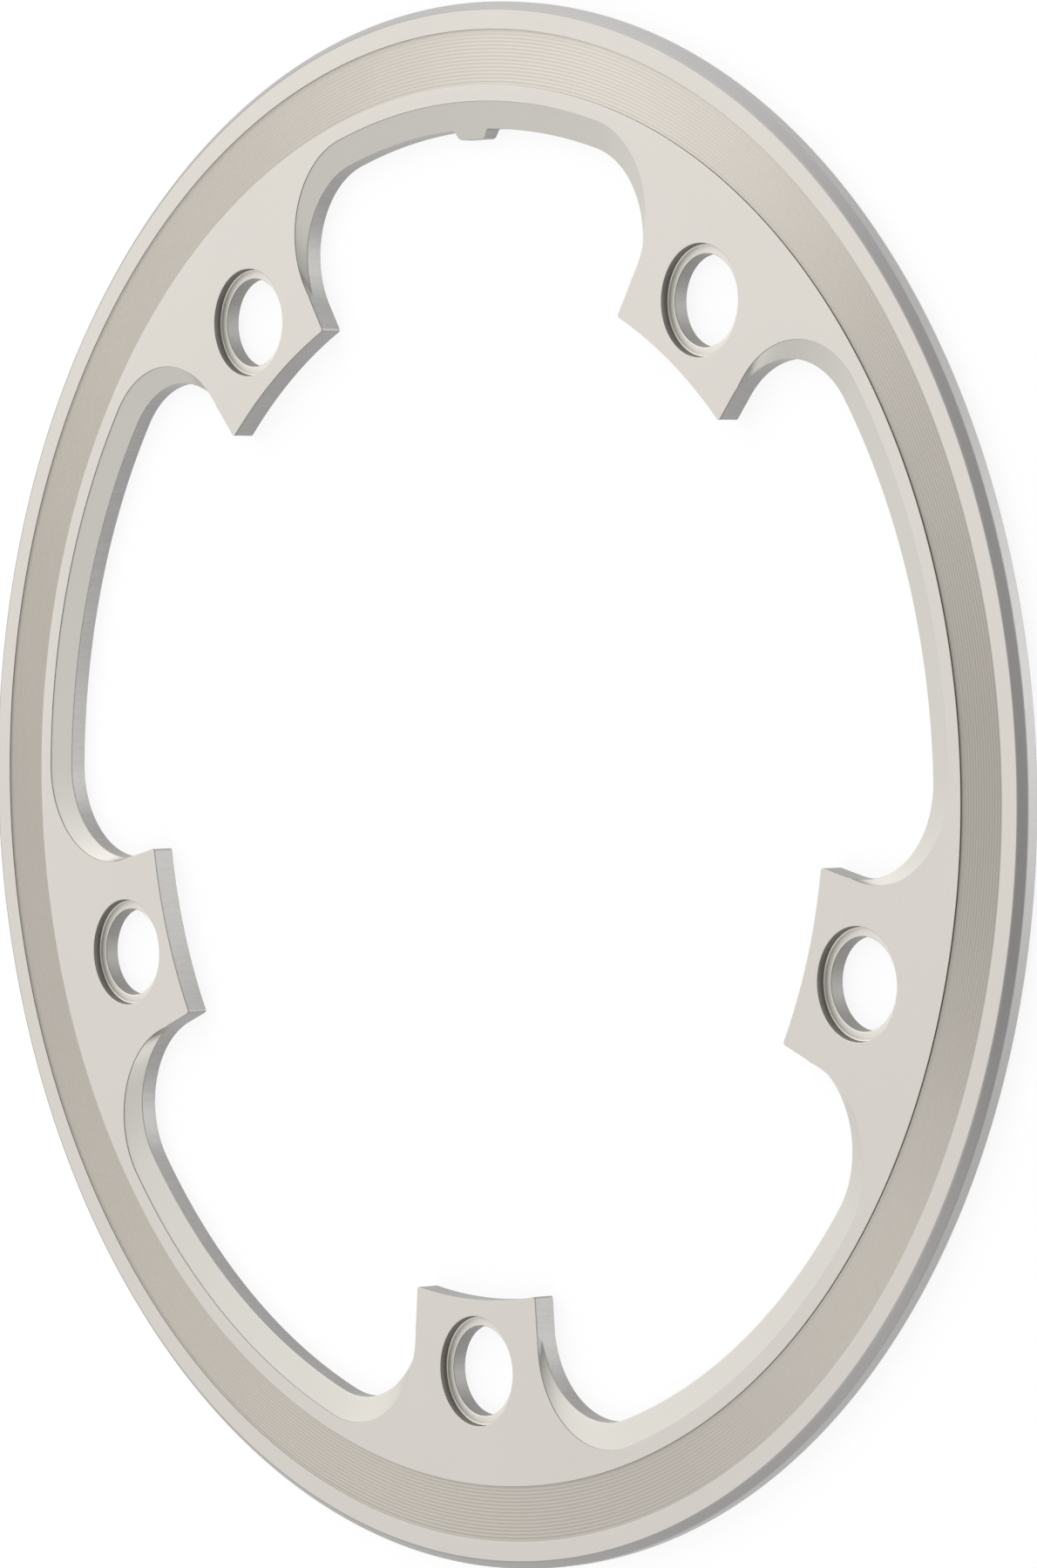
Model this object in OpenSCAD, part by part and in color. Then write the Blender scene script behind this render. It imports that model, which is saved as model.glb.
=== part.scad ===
// Toothless guard ring for a five-arm bicycle crank.
// One flat aluminium ring, turned on its faces and rim, then milled to leave tabs that
// bolt to the crank arms. It lies on its back face, with the turned front face up.

/* [Plate] */
// Thickness of the plate
plate_t = 2.75; // [2.5:0.05:6]
// Outside diameter over the rim
outer_d = 173.6; // [168:0.2:200]
// Radial width of the ring between the rim and the scallops
rim_w = 14.05; // [13:0.05:17]

/* [Rim] */
// Front edge chamfer of the rim
rim_front_chamfer = 0.8; // [0.1:0.02:1.2]
// Back edge chamfer of the rim
rim_back_chamfer = 0.65; // [0.1:0.05:1.6]

/* [Turned band] */
// Flat land between the rim and the band
band_land = 3.1; // [1.6:0.1:3.5]
// Radial width of the grooved band
band_w = 6.1; // [3:0.1:7]
// Depth of the band's floor below the front face
band_depth = 0.16; // [0.05:0.01:0.6]
// Distance from one turned groove to the next
groove_pitch = 0.4; // [0.3:0.05:1.5]
// Depth of each turned groove below the band's floor
groove_depth = 0.05; // [0.02:0.01:0.3]

/* [Scallop bevel] */
// Radial width of the bevel round each scallop
bevel_w = 3.05; // [1:0.05:3.6]
// Height that the bevel falls from its crease to the scallop's edge
bevel_drop = 0.77; // [0.2:0.01:1.5]
// Angle from a tab's centre line to the scallop's corner centre
corner_angle = 19.2; // [16:0.2:22]

/* [Tabs] */
// Number of tabs
tab_count = 5; // [3:1:6]
// Width of a tab across its tip
tab_tip_w = 20; // [17:0.1:23]
// Distance from the bolt circle in to the tab's tip
tab_tip_reach = 8; // [7.6:0.1:12]
// Angle by which each side of a tab spreads toward the ring
tab_draft = 4.3; // [0:0.1:8]

/* [Bolt holes] */
// Diameter of the bolt circle
bolt_circle_d = 130; // [122:0.5:134]
// Diameter of the bolt holes
hole_d = 10; // [8:0.1:11]
// Diameter of the counterbore in the front face
counterbore_d = 12.2; // [11.4:0.1:14]
// Depth of the counterbore
counterbore_depth = 0.95; // [0.3:0.05:1.8]

/* [Locating nub] */
// Width of the nub where it leaves the scallop
nub_base_w = 5.6; // [4.6:0.1:9]
// Width of the nub at its end
nub_tip_w = 4.2; // [2:0.1:4.6]
// Distance that the nub stands in from the scallop's edge
nub_reach = 1.3; // [0.5:0.05:3]

/* [Hidden] */
$fn = 180;

outer_r = outer_d / 2;
scallop_r = outer_r - rim_w;
crease_r = scallop_r + bevel_w;
band_outer_r = outer_r - band_land;
band_inner_r = band_outer_r - band_w;
band_floor_z = plate_t - band_depth;
groove_count = floor(band_w / groove_pitch);
groove_start_r = band_inner_r + (band_w - groove_count * groove_pitch) / 2;

bolt_r = bolt_circle_d / 2;
tip_r = bolt_r - tab_tip_reach;
tab_pitch = 360 / tab_count;
// One tab points straight down, along -Y
first_tab_angle = -90;
// The nub sits in the middle of the scallop opposite that tab
nub_angle = first_tab_angle + tab_pitch * (floor(tab_count / 2) + 0.5);

// A tab's side is a line in the tab's own frame, where X runs out along its centre line
side_offset = tab_tip_w / 2 - tip_r * tan(tab_draft);
side_lean = sin(corner_angle - tab_draft);
// Cutters run this far past the faces that they cut
over = 1;
// Arcs that would only touch are moved this far past each other, so that they cross
blend = 0.01;
// The scallop cutters start this far inside the tips
inner_clear = 3;
// Angle that the void beside a tab laps over the long arc's void
lap_angle = 2;

// Radius of the arc that touches both a circle about the ring's axis and a tab's side
function corner_r(ring_r) =
    (ring_r * side_lean - side_offset * cos(tab_draft)) / (1 + side_lean);

// Distance of that arc's centre from the ring's axis
function corner_centre(ring_r) = ring_r - corner_r(ring_r) + 2 * blend;

function polar(radius, angle) = [radius * cos(angle), radius * sin(angle)];

// Height of the bevel's surface at a radius on the long arc of a scallop
function bevel_z(radius) = plate_t - bevel_drop * (crease_r - radius) / bevel_w;

// Half section of the blank: rim, lands and the grooved band
module blank_section() {
    groove_points = [
        for (i = [groove_count - 1 : -1 : 0])
            each [
                [groove_start_r + (i + 1) * groove_pitch, band_floor_z],
                [groove_start_r + (i + 0.5) * groove_pitch, band_floor_z - groove_depth]
            ]
    ];
    polygon(concat(
        [
            [tip_r, 0],
            [outer_r - rim_back_chamfer, 0],
            [outer_r, rim_back_chamfer],
            [outer_r, plate_t - rim_front_chamfer],
            [outer_r - rim_front_chamfer, plate_t],
            [band_outer_r, plate_t],
            [band_outer_r, band_floor_z]
        ],
        groove_points,
        [
            [groove_start_r, band_floor_z],
            [band_inner_r, band_floor_z],
            [band_inner_r, plate_t],
            [tip_r, plate_t]
        ]
    ));
}

module turned_blank() {
    rotate_extrude() blank_section();
}

// Void beside one tab: the straight side of the tab and the round corner after it
module tab_side_void() {
    inner_r = tip_r - inner_clear;
    corner = polar(corner_centre(scallop_r), corner_angle);
    touch = corner + corner_r(scallop_r) * [sin(tab_draft), -cos(tab_draft)];
    side_at_inner = [inner_r, side_offset + inner_r * tan(tab_draft)];
    polygon([
        side_at_inner,
        touch,
        polar(norm(corner), corner_angle + lap_angle),
        polar(inner_r - inner_clear, corner_angle + lap_angle)
    ]);
    translate(corner) circle(r = corner_r(scallop_r) + blend);
}

// Void of one scallop's long arc, between its two corner centres
module long_arc_void() {
    span = tab_pitch - 2 * corner_angle;
    reach = scallop_r / cos(span / 2) + over;
    rotate(corner_angle)
        intersection() {
            circle(r = scallop_r);
            polygon([[0, 0], [reach, 0], polar(reach, span)]);
        }
}

module locating_nub() {
    root_r = scallop_r + over;
    taper = (nub_base_w - nub_tip_w) / nub_reach;
    root_w = nub_base_w + taper * over;
    end_r = scallop_r - nub_reach;
    rotate(nub_angle)
        polygon([
            [end_r, -nub_tip_w / 2],
            [root_r, -root_w / 2],
            [root_r, root_w / 2],
            [end_r, nub_tip_w / 2]
        ]);
}

module scallop_outline() {
    difference() {
        for (i = [0 : tab_count - 1])
            rotate(first_tab_angle + i * tab_pitch) {
                tab_side_void();
                mirror([0, 1]) tab_side_void();
                long_arc_void();
            }
        locating_nub();
    }
}

// Cone about the ring's axis that bevels the long arc of one scallop
module long_arc_bevel() {
    low_r = scallop_r - nub_reach - over;
    rotate([0, 0, corner_angle])
        rotate_extrude(angle = tab_pitch - 2 * corner_angle)
            polygon([
                [low_r, bevel_z(low_r)],
                [crease_r, plate_t],
                [crease_r, plate_t + over],
                [low_r, plate_t + over]
            ]);
}

// Leaning cone that carries the bevel round a corner and fades it out on the tab's side
module corner_bevel() {
    rise = bevel_drop + over;
    grow = (corner_r(crease_r) - corner_r(scallop_r)) / bevel_drop;
    lean = (corner_centre(crease_r) - corner_centre(scallop_r)) / bevel_drop;
    leaning = [
        [1, 0, lean, 0],
        [0, 1, 0, 0],
        [0, 0, 1, 0],
        [0, 0, 0, 1]
    ];
    rotate([0, 0, corner_angle])
        translate([corner_centre(scallop_r), 0, plate_t - bevel_drop])
            multmatrix(leaning)
                cylinder(r1 = corner_r(scallop_r), r2 = corner_r(scallop_r) + grow * rise, h = rise);
}

module scallop_bevels() {
    for (i = [0 : tab_count - 1])
        rotate([0, 0, first_tab_angle + i * tab_pitch]) {
            long_arc_bevel();
            corner_bevel();
            mirror([0, 1, 0]) corner_bevel();
        }
}

module bolt_holes() {
    for (i = [0 : tab_count - 1])
        rotate([0, 0, first_tab_angle + i * tab_pitch])
            translate([bolt_r, 0, 0]) {
                translate([0, 0, -over])
                    cylinder(d = hole_d, h = plate_t + 2 * over);
                translate([0, 0, plate_t - counterbore_depth])
                    cylinder(d = counterbore_d, h = counterbore_depth + over);
            }
}

module guard_ring() {
    color([0.86, 0.84, 0.8])
        difference() {
            turned_blank();
            translate([0, 0, -over])
                linear_extrude(height = plate_t + 2 * over) scallop_outline();
            scallop_bevels();
            bolt_holes();
        }
}

guard_ring();
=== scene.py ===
import math
import bpy
import numpy as np
from mathutils import Matrix, Vector
from mathutils.geometry import delaunay_2d_cdt


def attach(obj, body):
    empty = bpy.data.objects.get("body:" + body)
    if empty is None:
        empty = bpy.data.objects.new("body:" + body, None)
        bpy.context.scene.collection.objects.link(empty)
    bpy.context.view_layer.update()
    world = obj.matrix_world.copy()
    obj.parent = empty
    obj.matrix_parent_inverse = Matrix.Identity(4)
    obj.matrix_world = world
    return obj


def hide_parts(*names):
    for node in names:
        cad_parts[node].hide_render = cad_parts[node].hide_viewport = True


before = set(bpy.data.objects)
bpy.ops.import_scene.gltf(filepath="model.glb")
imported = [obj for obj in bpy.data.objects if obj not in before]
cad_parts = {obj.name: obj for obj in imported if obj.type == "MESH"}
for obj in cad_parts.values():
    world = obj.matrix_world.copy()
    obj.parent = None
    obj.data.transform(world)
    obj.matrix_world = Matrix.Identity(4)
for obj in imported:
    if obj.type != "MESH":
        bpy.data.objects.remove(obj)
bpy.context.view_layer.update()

MM = 0.001

# Sizes of the ring in millimetres, as in the part's source unless a comment says otherwise
PLATE_T = 2.75
# A little less than in the source, so that the round rim stays inside the faceted CAD box
OUTER_R = 86.77
SCALLOP_R = 72.75
BEVEL_W = 3.05
BEVEL_DROP = 0.77
# The cutter that made the bevel ran this far below the turned face
CREASE_STEP = 0.1
CREASE_R = SCALLOP_R + BEVEL_W
BEVEL_CLIMB = BEVEL_DROP - CREASE_STEP
BAND_OUTER_R = 83.7
BAND_INNER_R = 77.6
# The band's floor rises outward, about the mean depth in the part's source
BAND_INNER_DEPTH = 0.22
BAND_OUTER_DEPTH = 0.1
GROOVE_PITCH = 0.4
GROOVE_DEPTH = 0.05
RIM_FRONT_CHAMFER = 0.8
RIM_BACK_CHAMFER = 0.65
TAB_COUNT = 5
TAB_TIP_W = 20.0
TIP_R = 57.0
TAB_DRAFT = math.radians(4.3)
CORNER_ANGLE = math.radians(19.2)
FIRST_TAB_ANGLE = math.radians(-90)
TAB_PITCH = 2 * math.pi / TAB_COUNT
BOLT_R = 65.0
HOLE_R = 5.0
COUNTERBORE_R = 6.1
COUNTERBORE_DEPTH = 0.95
NUB_HALF_BASE = 2.8
NUB_HALF_TIP = 2.1
# Shorter than in the source, because the photo's nub is
NUB_REACH = 1.1
# The nub is in the scallop after this tab, counted from the first
NUB_SCALLOP = 2

# Small radii in the outline, which the source leaves sharp
TAB_CORNER_R = 0.3
NUB_CORNER_R = 0.8
NUB_ROOT_R = 0.45
# Milled edges are rounded over this length on both of their sides
MILLED_SOFT = 0.12
CREASE_SOFT = 0.03
# Turned edges and the edges of the holes: the length on both sides, and the steps in the mesh
BAND_LIP = (0.05, 3)
BAND_NICK = (0.02, 2)
GROOVE_SOFT = (0.05, 2)
RIM_FRONT_SOFT = (0.13, 4)
RIM_BACK_SOFT = (0.2, 6)
HOLE_SOFT = (0.12, 4)
LEDGE_ROOT = (0.25, 4)
LEDGE_LIP = (0.15, 3)
# Length of flat beyond the first and the last edge of a section
RUN_IN = 1.0
# The turned strip and the flat faces meet at this radius
SEAM_R = 77.0

# How finely the mesh is cut
RING_STEPS = 480
HOLE_STEPS = 84
TIP_STEPS = 12
TAB_CORNER_STEPS = 7
SIDE_STEPS = 6
SCALLOP_CORNER_STEPS = 52
LONG_ARC_STEPS = 34
NUB_CORNER_STEPS = 7
NUB_SIDE_STEPS = 3
NUB_TIP_STEPS = 4
BEVEL_PARTS = 4

ZONES = ["body", "band", "rim", "hole"]

# Shorter steps of a polyline are left out
TINY = 1e-9
# For delaunay_2d_cdt: keep the triangles inside the outer loop, and join points this near
CDT_INSIDE = 1
CDT_NEAR = 1e-7


def unit(angle):
    return np.array([math.cos(angle), math.sin(angle)])


def rotated(points, angle):
    c, s = math.cos(angle), math.sin(angle)
    return points @ np.array([[c, s], [-s, c]])


SIDE_NORMAL = np.array([math.sin(TAB_DRAFT), -math.cos(TAB_DRAFT)])
SIDE_ALONG = np.array([math.cos(TAB_DRAFT), math.sin(TAB_DRAFT)])
SIDE_OFFSET = TAB_TIP_W / 2 - TIP_R * math.tan(TAB_DRAFT)
SIDE_LEAN = math.sin(CORNER_ANGLE - TAB_DRAFT)


def corner_r(ring_r):
    return (ring_r * SIDE_LEAN - SIDE_OFFSET * math.cos(TAB_DRAFT)) / (1 + SIDE_LEAN)


CORNER_R = corner_r(SCALLOP_R)
CORNER_GROW = corner_r(CREASE_R) - CORNER_R
CORNER_SHIFT = BEVEL_W - CORNER_GROW
CORNER_CENTRE = (SCALLOP_R - CORNER_R) * unit(CORNER_ANGLE)


def cone_z(radius):
    """Height of the bevel at a radius on a long arc."""
    return PLATE_T - CREASE_STEP - BEVEL_CLIMB * (CREASE_R - radius) / BEVEL_W


def corner_bevel(angle):
    """Distances from the wall at which the bevel has risen by each part of its height."""
    along = math.cos(angle - CORNER_ANGLE)
    across = math.sin(angle - CORNER_ANGLE)
    out = []
    for i in range(1, BEVEL_PARTS + 1):
        f = i / BEVEL_PARTS
        reach = CORNER_R + f * CORNER_GROW
        shift = f * CORNER_SHIFT
        d = shift * along + math.sqrt(reach**2 - (shift * across) ** 2) - CORNER_R
        out.append(max(d, 0.0))
    return list(np.maximum.accumulate(out)) if out[-1] > 0 else [0.0] * BEVEL_PARTS


class Station:
    """A place on the inner outline: its point, the normal into the metal and the bevel's widths.

    The widths are None on a long arc, where the bevel is a cone about the ring's axis.
    """

    def __init__(self, point, normal, widths):
        self.point, self.normal, self.widths = point, normal, widths


def half_tab_outline():
    """From the middle of a tab's tip to the start of the long arc, in the tab's own frame."""
    flat = [0.0] * BEVEL_PARTS
    a = -SIDE_OFFSET * math.cos(TAB_DRAFT) + TAB_CORNER_R
    centre = a * SIDE_NORMAL + math.sqrt((TIP_R + TAB_CORNER_R) ** 2 - a**2) * SIDE_ALONG
    tip_end = math.atan2(centre[1], centre[0])
    side_angle = math.atan2(SIDE_NORMAL[1], SIDE_NORMAL[0])
    out = []
    for i in range(TIP_STEPS):
        n = unit(tip_end * i / TIP_STEPS)
        out.append(Station(TIP_R * n, n, flat))
    for i in range(TAB_CORNER_STEPS):
        n = unit(tip_end + (side_angle - tip_end) * i / TAB_CORNER_STEPS)
        out.append(Station(centre - TAB_CORNER_R * n, n, flat))
    start = centre - TAB_CORNER_R * SIDE_NORMAL
    end = CORNER_CENTRE + CORNER_R * SIDE_NORMAL
    for i in range(SIDE_STEPS):
        out.append(Station(start + (end - start) * i / SIDE_STEPS, SIDE_NORMAL, flat))
    for i in range(SCALLOP_CORNER_STEPS):
        angle = side_angle + (CORNER_ANGLE - side_angle) * i / SCALLOP_CORNER_STEPS
        n = unit(angle)
        out.append(Station(CORNER_CENTRE + CORNER_R * n, n, corner_bevel(angle)))
    return out


def half_long_arc():
    """From the corner to the middle of a scallop without a nub."""
    out = []
    for i in range(LONG_ARC_STEPS):
        n = unit(CORNER_ANGLE + (TAB_PITCH / 2 - CORNER_ANGLE) * i / LONG_ARC_STEPS)
        out.append(Station(SCALLOP_R * n, n, None))
    return out


def half_nub_arc():
    """The same for the scallop with the nub, worked out in the nub's own frame."""
    side = np.array([-NUB_REACH, NUB_HALF_BASE - NUB_HALF_TIP])
    side = side / np.linalg.norm(side)
    normal = np.array([side[1], -side[0]])
    side_angle = math.atan2(normal[1], normal[0])
    foot = np.array([SCALLOP_R, -NUB_HALF_BASE])
    a = foot @ normal - NUB_ROOT_R
    root = a * normal - math.sqrt((SCALLOP_R - NUB_ROOT_R) ** 2 - a**2) * side
    root_angle = math.atan2(root[1], root[0])
    tip_x = SCALLOP_R - NUB_REACH + NUB_CORNER_R
    tip = np.array([tip_x, (foot @ normal + NUB_CORNER_R - normal[0] * tip_x) / normal[1]])
    out = []
    arc_start = CORNER_ANGLE - TAB_PITCH / 2
    for i in range(LONG_ARC_STEPS):
        n = unit(arc_start + (root_angle - arc_start) * i / LONG_ARC_STEPS)
        out.append(Station(SCALLOP_R * n, n, None))
    for i in range(NUB_CORNER_STEPS):
        n = unit(root_angle + (side_angle - root_angle) * i / NUB_CORNER_STEPS)
        out.append(Station(root + NUB_ROOT_R * n, n, None))
    start, end = root + NUB_ROOT_R * normal, tip - NUB_CORNER_R * normal
    for i in range(NUB_SIDE_STEPS):
        out.append(Station(start + (end - start) * i / NUB_SIDE_STEPS, normal, None))
    for i in range(NUB_CORNER_STEPS):
        n = unit(side_angle * (1 - i / NUB_CORNER_STEPS))
        out.append(Station(tip - NUB_CORNER_R * n, n, None))
    start = tip - NUB_CORNER_R * unit(0)
    for i in range(NUB_TIP_STEPS):
        out.append(Station(start + np.array([0, -start[1]]) * i / NUB_TIP_STEPS, unit(0), None))
    turn = TAB_PITCH / 2
    return [Station(rotated(s.point, turn), rotated(s.normal, turn), None) for s in out]


def middle_of_scallop(with_nub):
    n = unit(TAB_PITCH / 2)
    return Station((SCALLOP_R - (NUB_REACH if with_nub else 0)) * n, n, None)


def whole_outline():
    """All the stations, once round the ring."""
    flip = np.array([1, -1])
    tab_half = half_tab_outline()
    out = []
    for k in range(TAB_COUNT):
        turn = FIRST_TAB_ANGLE + k * TAB_PITCH
        nub_after, nub_before = k == NUB_SCALLOP, (k - 1) % TAB_COUNT == NUB_SCALLOP
        after = tab_half + (half_nub_arc() if nub_after else half_long_arc())
        before = tab_half + (half_nub_arc() if nub_before else half_long_arc())
        before = before + [middle_of_scallop(nub_before)]
        back = reversed(before[1:])
        mirrored = [Station(s.point * flip, s.normal * flip, s.widths) for s in back]
        for s in mirrored + after:
            out.append(Station(rotated(s.point, turn), rotated(s.normal, turn), s.widths))
    return out


def softened(points, half, wanted):
    """Points at the wanted distances along a polyline that is averaged over half to each side."""
    points = np.array(points, float)
    steps = np.linalg.norm(np.diff(points, axis=0), axis=1)
    along = np.concatenate([[0], np.cumsum(steps)])
    keep = np.concatenate([[True], steps > TINY])
    along, points = along[keep], points[keep]
    parts = (points[1:] + points[:-1]) / 2 * np.diff(along)[:, None]
    sums = np.concatenate([np.zeros((1, 2)), np.cumsum(parts, axis=0)])

    def total(s):
        i = min(max(int(np.searchsorted(along, s, side="right")) - 1, 0), len(along) - 2)
        t = s - along[i]
        slope = (points[i + 1] - points[i]) / (along[i + 1] - along[i])
        return sums[i] + points[i] * t + slope * t * t / 2

    return np.array([(total(s + half) - total(s - half)) / (2 * half) for s in wanted])


def around(s, half):
    return [s - half, s - half / 2, s, s + half / 2, s + half]


def over_step(foot, top, half):
    return [foot - half, foot, (foot + top) / 2, top, top + half]


def over_wall(corners):
    """The part of a section that goes round the wall's foot and its top edge."""
    height = corners[2][1]
    marks = around(RUN_IN, MILLED_SOFT) + around(RUN_IN + height, MILLED_SOFT)
    return softened(corners, MILLED_SOFT, marks)


def cone_section(station):
    """Section on a long arc, from the back face up the wall and over the bevel."""
    edge_z = cone_z(np.linalg.norm(station.point))
    far_z = cone_z(np.linalg.norm(station.point + RUN_IN * station.normal))
    wall = over_wall([(RUN_IN, 0), (0, 0), (0, edge_z), (RUN_IN, far_z)])
    out = [(*(station.point + d * station.normal), z) for d, z in wall]
    end = np.array(out[-1][:2])
    radius, ray = np.linalg.norm(end), end / np.linalg.norm(end)
    corners = [
        (SCALLOP_R, PLATE_T - BEVEL_DROP),
        (CREASE_R, PLATE_T - CREASE_STEP),
        (CREASE_R, PLATE_T),
        (CREASE_R + RUN_IN, PLATE_T),
    ]
    foot = math.hypot(BEVEL_W, BEVEL_CLIMB)
    crest = softened(corners, CREASE_SOFT, over_step(foot, foot + CREASE_STEP, CREASE_SOFT))
    for i in range(1, BEVEL_PARTS):
        r = radius + (crest[0][0] - radius) * i / BEVEL_PARTS
        out.append((*(r * ray), cone_z(r)))
    out += [(*(r * ray), z) for r, z in crest]
    return np.array(out)


def fading_section(station):
    """The same on a tab and round a corner, where the bevel narrows to nothing."""
    base = PLATE_T - BEVEL_DROP
    width = station.widths[-1]
    corners = [(RUN_IN, 0), (0, 0), (0, base)]
    for i, w in enumerate(station.widths, start=1):
        corners.append((w, base + BEVEL_CLIMB * i / BEVEL_PARTS))
    corners += [(width, PLATE_T), (width + RUN_IN, PLATE_T)]
    lengths = np.linalg.norm(np.diff(np.array(corners), axis=0), axis=1)
    top = float(np.sum(lengths[:-1]))
    foot = top - CREASE_STEP
    low, high = RUN_IN + base + MILLED_SOFT, foot - CREASE_SOFT
    inner = [low + (high - low) * i / BEVEL_PARTS for i in range(1, BEVEL_PARTS)]
    crest = softened(corners, CREASE_SOFT, inner + over_step(foot, top, CREASE_SOFT))
    line = np.concatenate([over_wall(corners), crest])
    return np.array([(*(station.point + d * station.normal), z) for d, z in line])


def rounded(start, corners, end):
    """Arcs that round the corners of a polyline from start to end, one list of points each."""
    spine = [np.array(p, float) for p in (start, *(place for place, _ in corners), end)]
    arcs = []
    for i, (_, (half, steps)) in enumerate(corners, start=1):
        before, here, after = spine[i - 1 : i + 2]
        a = here + (before - here) / np.linalg.norm(before - here) * half
        b = here + (after - here) / np.linalg.norm(after - here) * half
        shares = [j / steps for j in range(steps + 1)]
        arcs.append([(1 - t) ** 2 * a + 2 * t * (1 - t) * here + t * t * b for t in shares])
    return arcs


def lathe_profile():
    """Section of the turned part from the seam out over the rim and back: points and zones."""
    slope = (BAND_OUTER_DEPTH - BAND_INNER_DEPTH) / (BAND_OUTER_R - BAND_INNER_R)

    def on_floor(radius, below=0.0):
        depth = BAND_INNER_DEPTH + slope * (radius - BAND_INNER_R)
        return (radius, PLATE_T - depth - below)

    count = int((BAND_OUTER_R - BAND_INNER_R) / GROOVE_PITCH)
    first = BAND_INNER_R + (BAND_OUTER_R - BAND_INNER_R - count * GROOVE_PITCH) / 2
    corners = [
        ((BAND_INNER_R, PLATE_T), BAND_LIP, "body"),
        (on_floor(BAND_INNER_R), BAND_NICK, "band"),
    ]
    for i in range(count):
        crest = first + i * GROOVE_PITCH
        valley = crest + GROOVE_PITCH / 2
        corners.append((on_floor(crest), GROOVE_SOFT if i else BAND_NICK, "band"))
        corners.append((on_floor(valley, GROOVE_DEPTH), GROOVE_SOFT, "band"))
    corners += [
        (on_floor(first + count * GROOVE_PITCH), BAND_NICK, "band"),
        (on_floor(BAND_OUTER_R), BAND_NICK, "band"),
        ((BAND_OUTER_R, PLATE_T), BAND_LIP, "body"),
        ((OUTER_R - RIM_FRONT_CHAMFER, PLATE_T), RIM_FRONT_SOFT, "rim"),
        ((OUTER_R, PLATE_T - RIM_FRONT_CHAMFER), RIM_FRONT_SOFT, "rim"),
        ((OUTER_R, RIM_BACK_CHAMFER), RIM_BACK_SOFT, "rim"),
        ((OUTER_R - RIM_BACK_CHAMFER, 0.0), RIM_BACK_SOFT, "rim"),
    ]
    start, end = (SEAM_R, PLATE_T), (SEAM_R, 0.0)
    points, zones = [start], ["body"]
    arcs = rounded(start, [corner[:2] for corner in corners], end)
    for arc, (_, _, zone) in zip(arcs, corners):
        points += arc
        zones += [zone] * len(arc)
    return np.array([*points, end]), [*zones, "body"]


def hole_profile():
    """Section of a counterbored hole from the front face down to the back: radii and heights."""
    ledge_z = PLATE_T - COUNTERBORE_DEPTH
    corners = [
        ((COUNTERBORE_R, PLATE_T), HOLE_SOFT),
        ((COUNTERBORE_R, ledge_z), LEDGE_ROOT),
        ((HOLE_R, ledge_z), LEDGE_LIP),
        ((HOLE_R, 0.0), HOLE_SOFT),
    ]
    arcs = rounded((COUNTERBORE_R + RUN_IN, PLATE_T), corners, (HOLE_R + RUN_IN, 0.0))
    return np.concatenate(arcs)


def turned_row(centre, angle, profile):
    """A profile of radii and heights, stood up at an angle round a centre."""
    u = unit(angle)
    return [(centre[0] + r * u[0], centre[1] + r * u[1], z) for r, z in profile]


class MeshMaker:
    def __init__(self):
        self.points, self.normals, self.faces, self.zones = [], [], [], []

    def add(self, point, normal):
        self.points.append(point)
        self.normals.append(normal)
        return len(self.points) - 1

    def face(self, corners, zone):
        self.faces.append(corners)
        self.zones.append(ZONES.index(zone))

    def grid(self, rows, flip, zone_of):
        """A strip closed along its rows, where rows[i][k] is a point; gives the vertex numbers."""
        rows = np.array(rows)
        along = np.roll(rows, -1, axis=0) - np.roll(rows, 1, axis=0)
        across = np.empty_like(rows)
        across[:, 1:-1] = rows[:, 2:] - rows[:, :-2]
        across[:, 0] = rows[:, 1] - rows[:, 0]
        across[:, -1] = rows[:, -1] - rows[:, -2]
        normals = np.cross(along, across)
        normals /= np.linalg.norm(normals, axis=2)[:, :, None]
        if flip:
            normals = -normals
        normals[:, 0] = (0, 0, np.sign(normals[0, 0, 2]))
        normals[:, -1] = (0, 0, np.sign(normals[0, -1, 2]))
        count, width = rows.shape[:2]
        ids = [[self.add(*pair) for pair in zip(*both)] for both in zip(rows, normals)]
        for i in range(count):
            j = (i + 1) % count
            for k in range(width - 1):
                quad = [ids[i][k], ids[j][k], ids[j][k + 1], ids[i][k + 1]]
                self.face(quad[::-1] if flip else quad, zone_of(i, k))
        return ids

    def plane(self, loops, up, zone):
        """A flat face inside the first loop of vertices, with the other loops as openings."""
        ids = [v for loop in loops for v in loop]
        flat = [Vector(self.points[v][:2]) for v in ids]
        edges, start = [], 0
        for loop in loops:
            n = len(loop)
            edges += [(start + i, start + (i + 1) % n) for i in range(n)]
            start += n
        places, _, triangles, source = delaunay_2d_cdt(flat, edges, [], CDT_INSIDE, CDT_NEAR)[:4]
        middles = np.array([np.mean([places[v] for v in t], axis=0) for t in triangles])
        opening = np.zeros(len(triangles), bool)
        for loop in loops[1:]:
            opening |= points_in_polygon(middles, np.array([self.points[v][:2] for v in loop]))
        for t, skip in zip(triangles, opening):
            if skip:
                continue
            corners = [ids[source[v][0]] for v in t]
            a, b, c = (np.array(self.points[v][:2]) for v in corners)
            turn = (b[0] - a[0]) * (c[1] - a[1]) - (b[1] - a[1]) * (c[0] - a[0])
            self.face(corners if (turn > 0) == up else corners[::-1], zone)


def points_in_polygon(points, polygon):
    inside = np.zeros(len(points), bool)
    x, y = points[:, 0], points[:, 1]
    for (x0, y0), (x1, y1) in zip(polygon, np.roll(polygon, -1, axis=0)):
        if y0 == y1:
            continue
        crosses = (y0 > y) != (y1 > y)
        inside ^= crosses & (x < (x1 - x0) * (y - y0) / (y1 - y0) + x0)
    return inside


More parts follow.
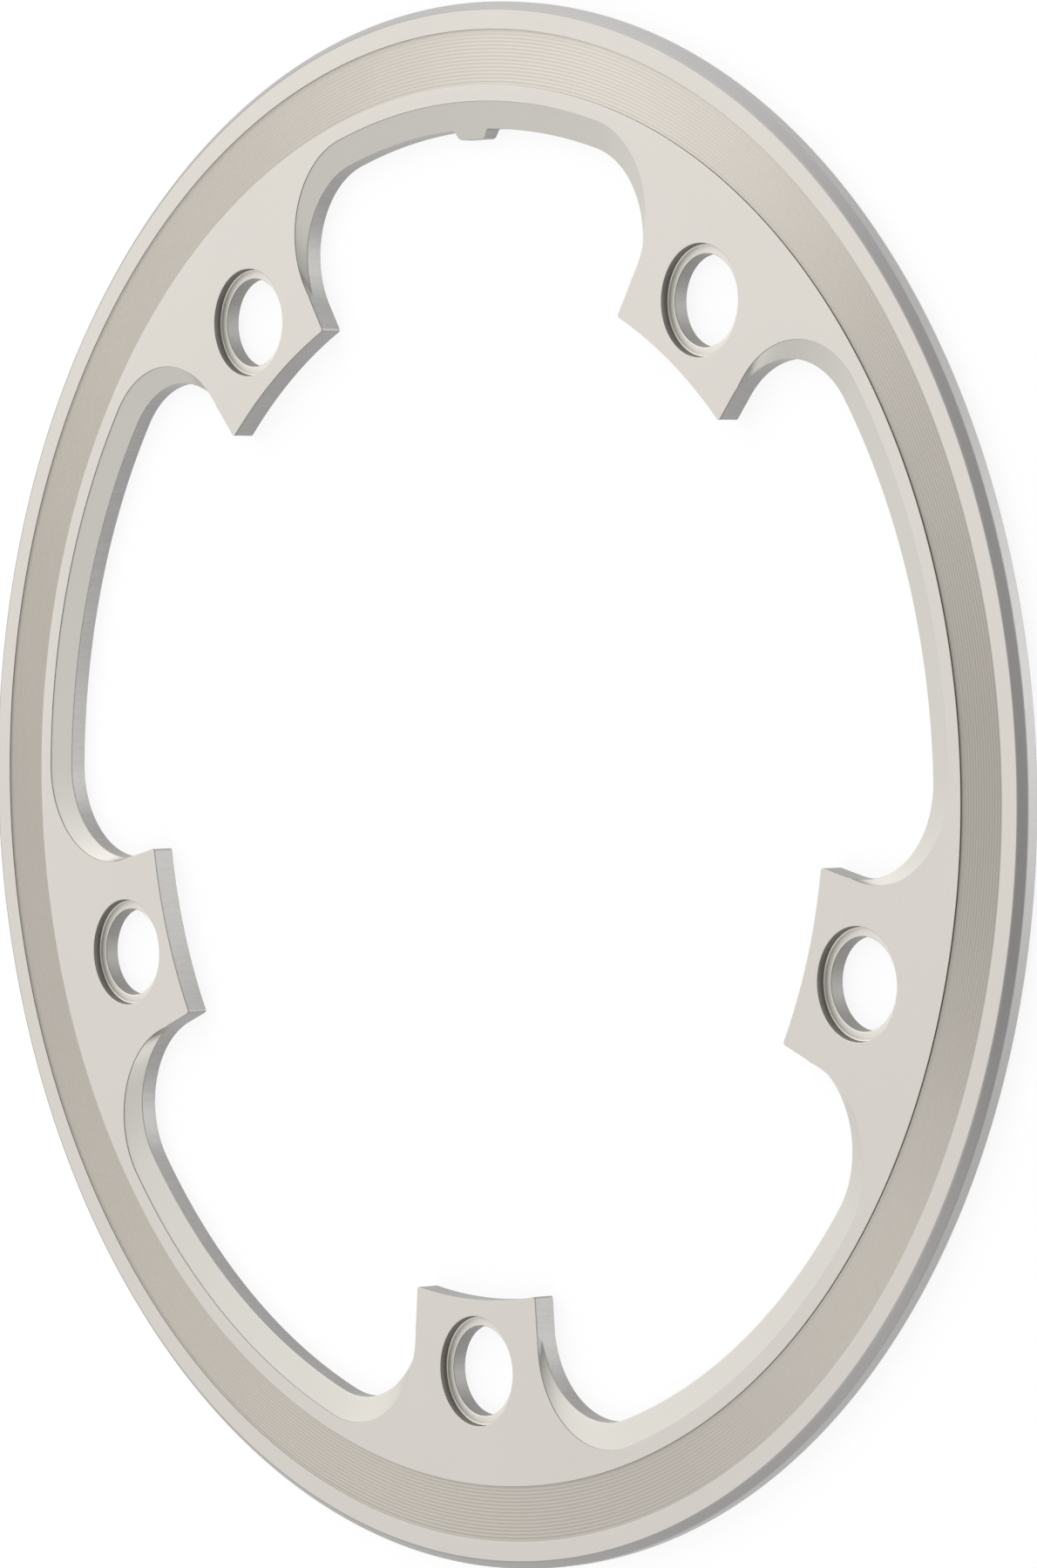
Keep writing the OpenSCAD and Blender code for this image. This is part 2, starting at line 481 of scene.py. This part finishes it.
def build_ring():
    maker = MeshMaker()
    stations = whole_outline()
    sections = [cone_section(s) if s.widths is None else fading_section(s) for s in stations]
    inner = maker.grid(sections, True, lambda i, k: "body")

    profile, zones = lathe_profile()
    turns = [2 * math.pi * i / RING_STEPS for i in range(RING_STEPS)]

    def rim_zone(i, k):
        return "body" if "body" in zones[k : k + 2] else zones[k]

    rim = maker.grid([turned_row((0, 0), a, profile) for a in turns], True, rim_zone)
    front = [[r[0] for r in rim], [r[-1] for r in inner]]
    back = [[r[-1] for r in rim], [r[0] for r in inner]]

    profile = hole_profile()
    turns = [2 * math.pi * i / HOLE_STEPS for i in range(HOLE_STEPS)]
    for k in range(TAB_COUNT):
        centre = BOLT_R * unit(FIRST_TAB_ANGLE + k * TAB_PITCH)
        rows = [turned_row(centre, a, profile) for a in turns]
        hole = maker.grid(rows, False, lambda i, k: "hole")
        front.append([r[0] for r in hole])
        back.append([r[-1] for r in hole])
    maker.plane(front, True, "body")
    maker.plane(back, False, "body")

    mesh = bpy.data.meshes.new("guard_ring_finish")
    mesh.from_pydata([tuple(MM * c for c in p) for p in maker.points], [], maker.faces)
    mesh.polygons.foreach_set("material_index", maker.zones)
    mesh.polygons.foreach_set("use_smooth", [True] * len(maker.faces))
    mesh.update()
    mesh.normals_split_custom_set_from_vertices([tuple(n) for n in maker.normals])
    ring = bpy.data.objects.new("guard_ring_finish", mesh)
    bpy.context.scene.collection.objects.link(ring)
    return ring


ring = build_ring()


class Shader:
    """A metal whose colour, roughness and bump come from the place on the ring, in millimetres."""

    def __init__(self, name, base, roughness):
        self.material = bpy.data.materials.new(name)
        self.material.use_nodes = True
        self.tree = self.material.node_tree
        self.metal = self.tree.nodes["Principled BSDF"]
        self.metal.inputs["Metallic"].default_value = 1
        place = self.tree.nodes.new("ShaderNodeTexCoord").outputs["Object"]
        self.place = self.vector("SCALE", place, scale=1 / MM)
        level = self.vector("MULTIPLY", self.place, (1, 1, 0))
        self.radius = self.vector("LENGTH", level, output="Value")
        self.colour = self.constant(base)
        self.rough = self.math("ADD", 0.0, roughness)
        self.height = None

    def link(self, value, socket):
        if isinstance(value, bpy.types.NodeSocket):
            self.tree.links.new(value, socket)
        else:
            socket.default_value = value

    def constant(self, rgb):
        node = self.tree.nodes.new("ShaderNodeRGB")
        node.outputs[0].default_value = (*rgb, 1)
        return node.outputs[0]

    def vector(self, operation, a, b=None, scale=None, output="Vector"):
        node = self.tree.nodes.new("ShaderNodeVectorMath")
        node.operation = operation
        self.link(a, node.inputs[0])
        if b is not None:
            self.link(b, node.inputs[1])
        if scale is not None:
            self.link(scale, node.inputs["Scale"])
        return node.outputs[output]

    def math(self, operation, a, b=0.0, c=0.0, clamp=False):
        node = self.tree.nodes.new("ShaderNodeMath")
        node.operation = operation
        node.use_clamp = clamp
        for value, socket in zip((a, b, c), node.inputs):
            self.link(value, socket)
        return node.outputs[0]

    def noise(self, scale, detail=2.0, stretch=(1, 1, 1), seed=0.0):
        """Smooth noise between about -1 and 1, with so many cells to the millimetre."""
        node = self.tree.nodes.new("ShaderNodeTexNoise")
        node.noise_dimensions = "4D"
        self.link(self.vector("MULTIPLY", self.place, stretch), node.inputs["Vector"])
        node.inputs["W"].default_value = seed
        node.inputs["Scale"].default_value = scale
        node.inputs["Detail"].default_value = detail
        return self.math("MULTIPLY_ADD", node.outputs[0], 2.0, -1.0)

    def rings(self, per_mm, detail=2.0, seed=0.0):
        """Noise that changes only with the distance from the ring's axis, as in turning marks."""
        node = self.tree.nodes.new("ShaderNodeTexNoise")
        node.noise_dimensions = "1D"
        self.link(self.math("ADD", self.radius, seed), node.inputs["W"])
        node.inputs["Scale"].default_value = per_mm
        node.inputs["Detail"].default_value = detail
        return self.math("MULTIPLY_ADD", node.outputs[0], 2.0, -1.0)

    def tone(self, value, amount):
        """Lightens and darkens the colour by a share of itself."""
        factor = self.math("MULTIPLY_ADD", value, amount, 1.0)
        self.colour = self.vector("SCALE", self.colour, scale=factor)

    def dull(self, value, amount):
        self.rough = self.math("MULTIPLY_ADD", value, amount, self.rough)

    def raise_by(self, value, microns):
        part = self.math("MULTIPLY", value, microns)
        self.height = part if self.height is None else self.math("ADD", self.height, part)

    def upright(self):
        """How far the surface faces up or down, from 0 on a wall to 1 on a flat."""
        place = self.tree.nodes.new("ShaderNodeTexCoord").outputs["Normal"]
        split = self.tree.nodes.new("ShaderNodeSeparateXYZ")
        self.link(place, split.inputs[0])
        return self.math("ABSOLUTE", split.outputs["Z"])

    def height_above(self):
        split = self.tree.nodes.new("ShaderNodeSeparateXYZ")
        self.link(self.place, split.inputs[0])
        return split.outputs["Z"]

    def step(self, value, start, end):
        """Rises smoothly from 0 at start to 1 at end; start may be above end."""
        node = self.tree.nodes.new("ShaderNodeMapRange")
        node.interpolation_type = "SMOOTHSTEP"
        self.link(value, node.inputs["Value"])
        low, high = (0.0, 1.0) if start < end else (1.0, 0.0)
        node.inputs["From Min"].default_value = min(start, end)
        node.inputs["From Max"].default_value = max(start, end)
        node.inputs["To Min"].default_value = low
        node.inputs["To Max"].default_value = high
        return node.outputs["Result"]

    def mix(self, amount, rgb):
        node = self.tree.nodes.new("ShaderNodeMix")
        node.data_type = "RGBA"
        self.link(amount, node.inputs["Factor"])
        self.link(self.colour, node.inputs[6])
        self.link((*rgb, 1), node.inputs[7])
        self.colour = node.outputs[2]

    def turned(self, amount):
        """Stretches the highlight across the circles that a lathe tool leaves."""
        around = self.tree.nodes.new("ShaderNodeTangent")
        around.direction_type = "RADIAL"
        around.axis = "Z"
        self.link(around.outputs[0], self.metal.inputs["Tangent"])
        self.metal.inputs["Anisotropic"].default_value = amount
        self.metal.inputs["Anisotropic Rotation"].default_value = QUARTER_TURN

    def done(self):
        self.link(self.colour, self.metal.inputs["Base Color"])
        rough = self.math("ADD", self.rough, 0.0, clamp=True)
        self.link(rough, self.metal.inputs["Roughness"])
        if self.height is not None:
            bump = self.tree.nodes.new("ShaderNodeBump")
            bump.inputs["Strength"].default_value = 1
            bump.inputs["Distance"].default_value = MM * MM
            self.link(self.height, bump.inputs["Height"])
            self.link(bump.outputs[0], self.metal.inputs["Normal"])
        return self.material


# Colours of the metal: the face's own colour, then copies of it darkened or lightened to paint
# shade and light on the other zones
FACE_COLOUR = (0.815, 0.782, 0.725)
# Painted shade: the band is darker than the face for the shade in its grooves
BAND_SHADED_COLOUR = (0.70, 0.655, 0.592)
# Painted shade: the bevel and the walls are darker than the face, by the way they face
BEVEL_SHADED_COLOUR = (0.748, 0.722, 0.669)
WALL_SHADED_COLOUR = (0.35, 0.343, 0.333)
# Painted shade: the rim's chamfers and wall are darker than the face
RIM_SHADED_COLOUR = (0.50, 0.492, 0.482)
# Painted shade in the hole: the bore darker than the face, and the counterbore's wall darker still
BORE_SHADED_COLOUR = (0.31, 0.302, 0.289)
COUNTERBORE_SHADED_COLOUR = (0.24, 0.23, 0.216)
# Painted light: the counterbore's ledge is lighter than the face
LEDGE_LIT_COLOUR = (0.96, 0.925, 0.86)

# Roughness of each zone
BODY_ROUGH = 0.40
BAND_ROUGH = 0.45
RIM_ROUGH = 0.42
HOLE_ROUGH = 0.5

# How far the highlight is stretched across the turning marks, and which way
BAND_STRETCH = 0.82
RIM_STRETCH = 0.8
QUARTER_TURN = 0.25
# The band's fine marks face outward, as if it fell by this many microns in each millimetre
BAND_LEAN = -270.0

# Slopes, from 0 on a flat to 1 on a wall, at which the bevel's and the wall's painted shade set in
BEVEL_SHADE_SLOPE = (0.008, 0.02)
WALL_SHADE_SLOPE = (0.25, 0.8)
# Painted shade: the top of a wall close under the front face is darker, as dark lines where the
# front face steps down: heights and share of the tone
LIP_SHADE_HEIGHT = (2.5, 2.66)
LIP_SHADE_TONE = -0.35
# In a hole, for its painted light and shade: how level its walls are, and the heights of the
# counterbore and its ledge
BORE_SHADE_LEVEL = (0.9, 0.4)
COUNTERBORE_SHADE_HEIGHT = (1.7, 2.0)
LEDGE_LIGHT_FLOOR = (1.0, 1.4)
LEDGE_LIGHT_CEILING = (2.4, 2.0)

# Satin: noise of so many cells to the millimetre, with its share of the tone
SATIN_TONES = ((0.05, 0.02), (2.2, 0.012))
TURNING_CELLS = 3.0
TURNING_TONE = 0.012
# Noise in the roughness: cells to the millimetre and seed
SATIN_DULL = ((0.12, 3.0), (4.0, 5.0))
DULL_SHARE = 0.02
# Bump of the turning marks, which each zone sets in microns, and of the grain
TURNING_BUMP_CELLS = 4.0
TURNING_SEED = 7.0
GRAIN_CELLS = 5.0
GRAIN_SEED = 9.0
GRAIN_MICRONS = 0.8
BODY_MICRONS = 0.9
BAND_MICRONS = 1.5
RIM_MICRONS = 1.2
HOLE_MICRONS = 0.3

# Marks of the milling cutter: lines drawn out along the height of the wall
MARK_CELLS = 3.0
MARK_STRETCH = (1, 1, 0.12)
MARK_TONE = 0.14
MARK_DULL = 0.06
CLOUD_CELLS = 0.15
CLOUD_SEED = 2.0
CLOUD_TONE = 0.08
RIDGE_CELLS = 3.5
RIDGE_STRETCH = (1, 1, 0.08)
RIDGE_SEED = 6.0
RIDGE_MICRONS = 4.0


def satin(s, turning_microns):
    """Even satin with faint turning marks."""
    for cells, share in SATIN_TONES:
        s.tone(s.noise(cells), share)
    s.tone(s.rings(TURNING_CELLS), TURNING_TONE)
    for cells, seed in SATIN_DULL:
        s.dull(s.noise(cells, seed=seed), DULL_SHARE)
    s.raise_by(s.rings(TURNING_BUMP_CELLS, seed=TURNING_SEED), turning_microns)
    s.raise_by(s.noise(GRAIN_CELLS, seed=GRAIN_SEED), GRAIN_MICRONS)


def milled_marks(s, where):
    """Upright lines that a cutter leaves on a wall."""
    lines = s.math("MULTIPLY", s.noise(MARK_CELLS, stretch=MARK_STRETCH), where)
    s.tone(lines, MARK_TONE)
    s.tone(s.math("MULTIPLY", s.noise(CLOUD_CELLS, seed=CLOUD_SEED), where), CLOUD_TONE)
    s.dull(lines, MARK_DULL)
    ridges = s.noise(RIDGE_CELLS, stretch=RIDGE_STRETCH, seed=RIDGE_SEED)
    s.raise_by(s.math("MULTIPLY", ridges, where), RIDGE_MICRONS)


def body_material():
    s = Shader("body", FACE_COLOUR, BODY_ROUGH)
    # Painted shade: the colour darkens as the surface turns from the flat face to the bevel and to
    # the wall
    slope = s.math("SUBTRACT", 1.0, s.upright())
    s.mix(s.step(slope, *BEVEL_SHADE_SLOPE), BEVEL_SHADED_COLOUR)
    wall = s.step(slope, *WALL_SHADE_SLOPE)
    s.mix(wall, WALL_SHADED_COLOUR)
    # Painted shade: a dark line along the top of the walls under the front face
    s.tone(s.math("MULTIPLY", wall, s.step(s.height_above(), *LIP_SHADE_HEIGHT)), LIP_SHADE_TONE)
    satin(s, BODY_MICRONS)
    milled_marks(s, wall)
    return s.done()


def band_material():
    # The band's darker colour paints the shade of its grooves
    s = Shader("band", BAND_SHADED_COLOUR, BAND_ROUGH)
    s.turned(BAND_STRETCH)
    s.raise_by(s.radius, BAND_LEAN)
    satin(s, BAND_MICRONS)
    return s.done()


def rim_material():
    # The rim's darker colour paints shade on it
    s = Shader("rim", RIM_SHADED_COLOUR, RIM_ROUGH)
    s.turned(RIM_STRETCH)
    satin(s, RIM_MICRONS)
    return s.done()


def hole_material():
    s = Shader("hole", FACE_COLOUR, HOLE_ROUGH)
    height = s.height_above()
    # Painted light on the ledge, painted shade on the bore and, darker, on the counterbore's wall
    ledge = s.math("MULTIPLY", s.step(height, *LEDGE_LIGHT_FLOOR), s.step(height, *LEDGE_LIGHT_CEILING))
    s.mix(ledge, LEDGE_LIT_COLOUR)
    wall = s.step(s.upright(), *BORE_SHADE_LEVEL)
    s.mix(wall, BORE_SHADED_COLOUR)
    counterbore = s.math("MULTIPLY", wall, s.step(height, *COUNTERBORE_SHADE_HEIGHT))
    s.mix(counterbore, COUNTERBORE_SHADED_COLOUR)
    satin(s, HOLE_MICRONS)
    milled_marks(s, wall)
    return s.done()


# In the order of ZONES
for make in (body_material, band_material, rim_material, hole_material):
    ring.data.materials.append(make())

FLOOR_HALF = 6
FLOOR_Z = -2e-5
FLOOR_WHITE = (0.3, 0.3, 0.3, 1)
FLOOR_ROUGH = 0.9
FLOOR_GLOW = 1.06
# The floor is a milky sheet: this share of the light from below comes through
FLOOR_CLEAR = 0.25
WHITE = (1, 1, 1, 1)

floor_mesh = bpy.data.meshes.new("floor")
sides = ((-1, -1), (1, -1), (1, 1), (-1, 1))
corners = [(x * FLOOR_HALF, y * FLOOR_HALF, FLOOR_Z) for x, y in sides]
floor_mesh.from_pydata(corners, [], [(0, 1, 2, 3)])
floor = bpy.data.objects.new("floor", floor_mesh)
bpy.context.scene.collection.objects.link(floor)
floor_material = bpy.data.materials.new("floor")
floor_material.use_nodes = True
paper = floor_material.node_tree.nodes["Principled BSDF"]
paper.inputs["Base Color"].default_value = FLOOR_WHITE
paper.inputs["Roughness"].default_value = FLOOR_ROUGH
paper.inputs["Emission Color"].default_value = WHITE
paper.inputs["Emission Strength"].default_value = FLOOR_GLOW
paper.inputs["Alpha"].default_value = 1 - FLOOR_CLEAR
floor_mesh.materials.append(floor_material)

# Soft lights round the ring: degrees round from +X, degrees above the floor, strength
AMBIENT = 0.157
# The greater this is, the smaller is each light
SPREAD = 8
LIGHTS = {
    "overhead": (0, 90, 0.139),
    "right": (0, 15, 0.224),
    "right_below": (16, -41, 4.4),
    "far_right": (45, 50, 0.333),
    "far": (90, 15, 0.57),
    "far_left_low": (135, 15, 0.946),
    "far_left_high": (135, 50, 0.784),
    "left_low": (180, 15, 0.616),
    "left_high": (180, 50, 0.188),
    "near_left": (225, 15, 0.41),
    "near": (270, 50, 1.059),
}

world = bpy.data.worlds.new("studio")
bpy.context.scene.world = world
world.use_nodes = True
tree = world.node_tree
sky = tree.nodes["Background"]
sky.inputs["Color"].default_value = WHITE
look = tree.nodes.new("ShaderNodeTexCoord").outputs["Generated"]


def world_math(operation, value, *numbers):
    """A math node of the world, with a link for its first value and set numbers after it."""
    node = tree.nodes.new("ShaderNodeMath")
    node.operation = operation
    tree.links.new(value, node.inputs[0])
    for socket, number in zip(node.inputs[1:], numbers):
        socket.default_value = number
    return node


total = None
for azimuth, height, strength in LIGHTS.values():
    a, e = math.radians(azimuth), math.radians(height)
    axis = (math.cos(a) * math.cos(e), math.sin(a) * math.cos(e), math.sin(e))
    toward = tree.nodes.new("ShaderNodeVectorMath")
    toward.operation = "DOT_PRODUCT"
    toward.inputs[1].default_value = axis
    tree.links.new(look, toward.inputs[0])
    front = world_math("MAXIMUM", toward.outputs["Value"], 0)
    lobe = world_math("POWER", front.outputs[0], SPREAD)
    add = world_math("MULTIPLY_ADD", lobe.outputs[0], strength, AMBIENT)
    if total is not None:
        tree.links.new(total, add.inputs[2])
    total = add.outputs[0]
tree.links.new(total, sky.inputs["Strength"])

# The camera's own axes and its place, fitted to the photo
CAMERA_RIGHT = (0.65813, -0.00913, -0.75281)
CAMERA_UP = (-0.01182, 0.99969, -0.02246)
CAMERA_BACK = (0.75284, 0.02373, 0.65781)
CAMERA_PLACE = (0.67462, 0.02135, 0.58521)
CAMERA_LENS = 184.56
CAMERA_SENSOR = 36
CAMERA_NEAR = 0.05

camera = bpy.data.objects.new("camera", bpy.data.cameras.new("camera"))
bpy.context.scene.collection.objects.link(camera)
camera.rotation_mode = "QUATERNION"
axes = Matrix((CAMERA_RIGHT, CAMERA_UP, CAMERA_BACK)).transposed()
camera.rotation_quaternion = axes.to_quaternion()
camera.location = CAMERA_PLACE
camera.data.lens = CAMERA_LENS
camera.data.sensor_width = CAMERA_SENSOR
camera.data.clip_start = CAMERA_NEAR
bpy.context.scene.camera = camera
bpy.context.scene.view_settings.view_transform = "Standard"

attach(ring, "root")
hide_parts("guard_ring")
